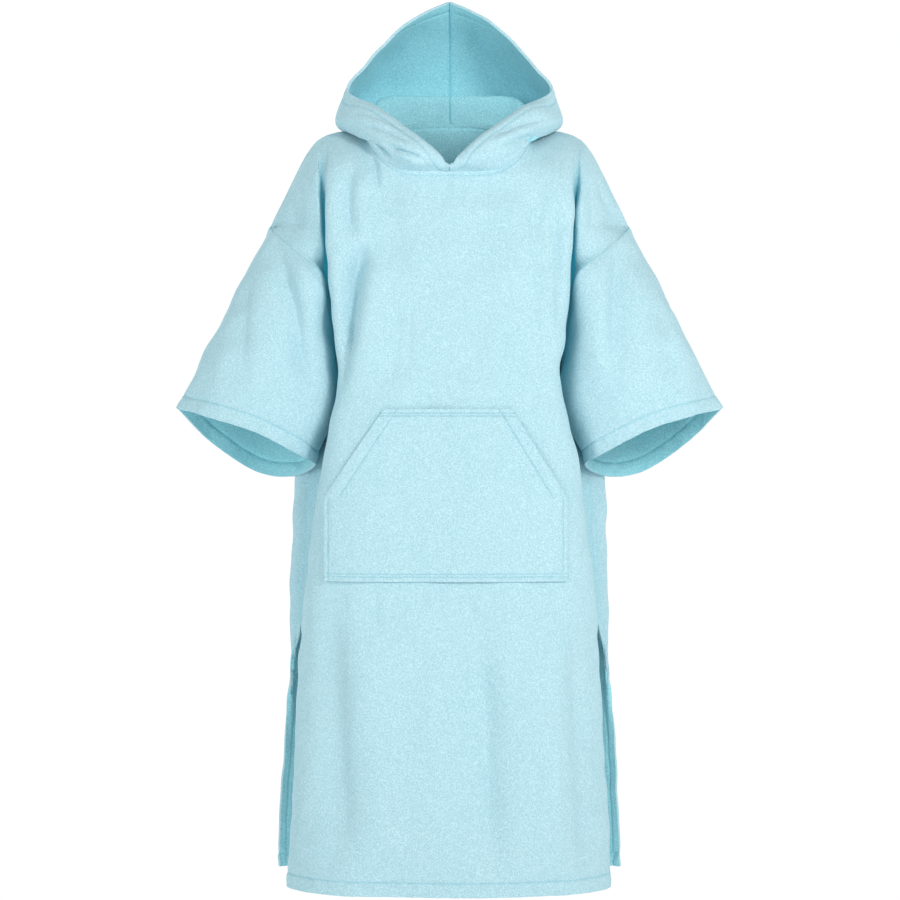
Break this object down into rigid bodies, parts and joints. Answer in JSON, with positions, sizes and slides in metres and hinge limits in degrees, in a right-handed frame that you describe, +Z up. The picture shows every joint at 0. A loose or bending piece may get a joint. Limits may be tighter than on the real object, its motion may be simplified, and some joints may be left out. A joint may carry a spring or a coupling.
{
  "type": "hooded bath poncho",
  "caption": "Long hooded bath poncho in plain terry towelling with wide short sleeves, side slits and a front pocket, in its worn shape.",
  "frame": {"origin": "midway between the shoulders at the height of the shoulder line, where the wearer carries it", "axes": "+Z up, -Y the wearer's front, +X to the right as seen from the front"},
  "size_m": [0.8118, 0.3632, 1.3167],
  "materials": {
    "towelling": "matt looped terry nap"
  },
  "bodies": {
    "root": {"front": "towelling", "back": "towelling", "sleeve_left": "towelling", "sleeve_right": "towelling", "hood_left": "towelling", "hood_right": "towelling", "pocket": "towelling"}
  },
  "joints": []
}
